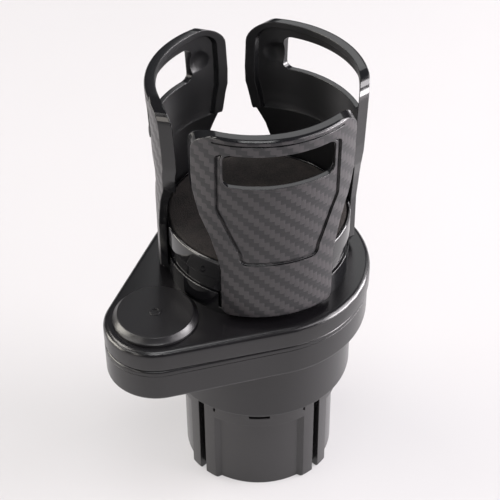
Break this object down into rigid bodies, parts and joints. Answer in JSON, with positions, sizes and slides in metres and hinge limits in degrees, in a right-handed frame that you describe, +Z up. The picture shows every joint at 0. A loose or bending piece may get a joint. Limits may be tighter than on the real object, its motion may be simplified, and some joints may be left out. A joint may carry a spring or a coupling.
{
  "type": "car cup holder expander",
  "caption": "Double car cup holder: expanding round base, lower cup well, and an upper deck that swings on a locking pivot and grips a cup between sliding claws.",
  "frame": {"origin": "centre of the base's bottom face, on the cup axis", "axes": "+Z up along the cup axis, -X from the cup axis towards the pivot of the swinging deck, rest pose with both decks in line, base closed and claws closed"},
  "size_m": [0.1276, 0.097, 0.2015],
  "materials": {
    "deck_plastic": "satin moulded ABS",
    "gloss_plastic": "polished ABS",
    "base_plastic": "fine textured ABS",
    "inner_plastic": "plain POM",
    "claw_plastic": "carbon pattern ABS",
    "foam": "EVA foam",
    "steel": "zinc plated"
  },
  "bodies": {
    "base": {"base_cover": "inner_plastic", "cover_screws": "steel", "base_core": "inner_plastic", "base_bolt": "steel", "base_washer": "steel"},
    "sector_1": {"fin_1": "base_plastic"},
    "sector_2": {"fin_2": "base_plastic"},
    "sector_3": {"fin_3": "base_plastic"},
    "sector_4": {"fin_4": "base_plastic"},
    "lower_body": {"cam_disc": "inner_plastic", "cam_screws": "steel", "lower_deck": "deck_plastic", "lower_lid": "deck_plastic", "lid_screws": "steel", "pivot_bolt": "steel", "thrust_washer": "steel"},
    "upper_body": {"upper_plate": "deck_plastic", "guide_base": "gloss_plastic", "guide_screws": "steel", "spindle_screw": "steel", "spindle_washer": "steel"},
    "drum": {"turn_disc": "gloss_plastic", "drum_cover": "gloss_plastic", "drum_screws": "steel", "foam_pad": "foam"},
    "claw_1_body": {"claw_1": "claw_plastic"},
    "claw_2_body": {"claw_2": "claw_plastic"},
    "claw_3_body": {"claw_3": "claw_plastic"},
    "knob": {"pivot_knob": "gloss_plastic", "knob_nut": "steel"}
  },
  "joints": [
    {"name": "base_turn", "type": "hinge", "parent": "base", "child": "lower_body", "pos_m": [0, 0, 0.0515], "axis": [0, 0, 1], "range_deg": [0, 80]},
    {"name": "fin_1_slide", "type": "slide", "parent": "base", "child": "sector_1", "axis": [0.6691, 0.7431, 0], "range_m": [0, 0.01]},
    {"name": "fin_2_slide", "type": "slide", "parent": "base", "child": "sector_2", "axis": [-0.7431, 0.6691, 0], "range_m": [0, 0.01]},
    {"name": "fin_3_slide", "type": "slide", "parent": "base", "child": "sector_3", "axis": [-0.6691, -0.7431, 0], "range_m": [0, 0.01]},
    {"name": "fin_4_slide", "type": "slide", "parent": "base", "child": "sector_4", "axis": [0.7431, -0.6691, 0], "range_m": [0, 0.01]},
    {"name": "deck_swing", "type": "hinge", "parent": "lower_body", "child": "upper_body", "pos_m": [-0.0573, 0, 0.099], "axis": [0, 0, 1], "continuous": true},
    {"name": "knob_turn", "type": "hinge", "parent": "upper_body", "child": "knob", "pos_m": [-0.0573, 0, 0.1085], "axis": [0, 0, 1], "range_deg": [0, 180]},
    {"name": "drum_turn", "type": "hinge", "parent": "upper_body", "child": "drum", "pos_m": [0, 0, 0.119], "axis": [0, 0, 1], "range_deg": [0, 100]},
    {"name": "claw_1_slide", "type": "slide", "parent": "upper_body", "child": "claw_1_body", "axis": [1, 0, 0], "range_m": [0, 0.015]},
    {"name": "claw_2_slide", "type": "slide", "parent": "upper_body", "child": "claw_2_body", "axis": [-0.5, 0.866, 0], "range_m": [0, 0.015]},
    {"name": "claw_3_slide", "type": "slide", "parent": "upper_body", "child": "claw_3_body", "axis": [-0.5, -0.866, 0], "range_m": [0, 0.015]}
  ],
  "couplings": [
    {"joint": "fin_1_slide", "follows": "base_turn", "m_per_rad": 0.007162},
    {"joint": "fin_2_slide", "follows": "base_turn", "m_per_rad": 0.007162},
    {"joint": "fin_3_slide", "follows": "base_turn", "m_per_rad": 0.007162},
    {"joint": "fin_4_slide", "follows": "base_turn", "m_per_rad": 0.007162},
    {"joint": "claw_1_slide", "follows": "drum_turn", "m_per_rad": 0.0085944},
    {"joint": "claw_2_slide", "follows": "drum_turn", "m_per_rad": 0.0085944},
    {"joint": "claw_3_slide", "follows": "drum_turn", "m_per_rad": 0.0085944}
  ]
}
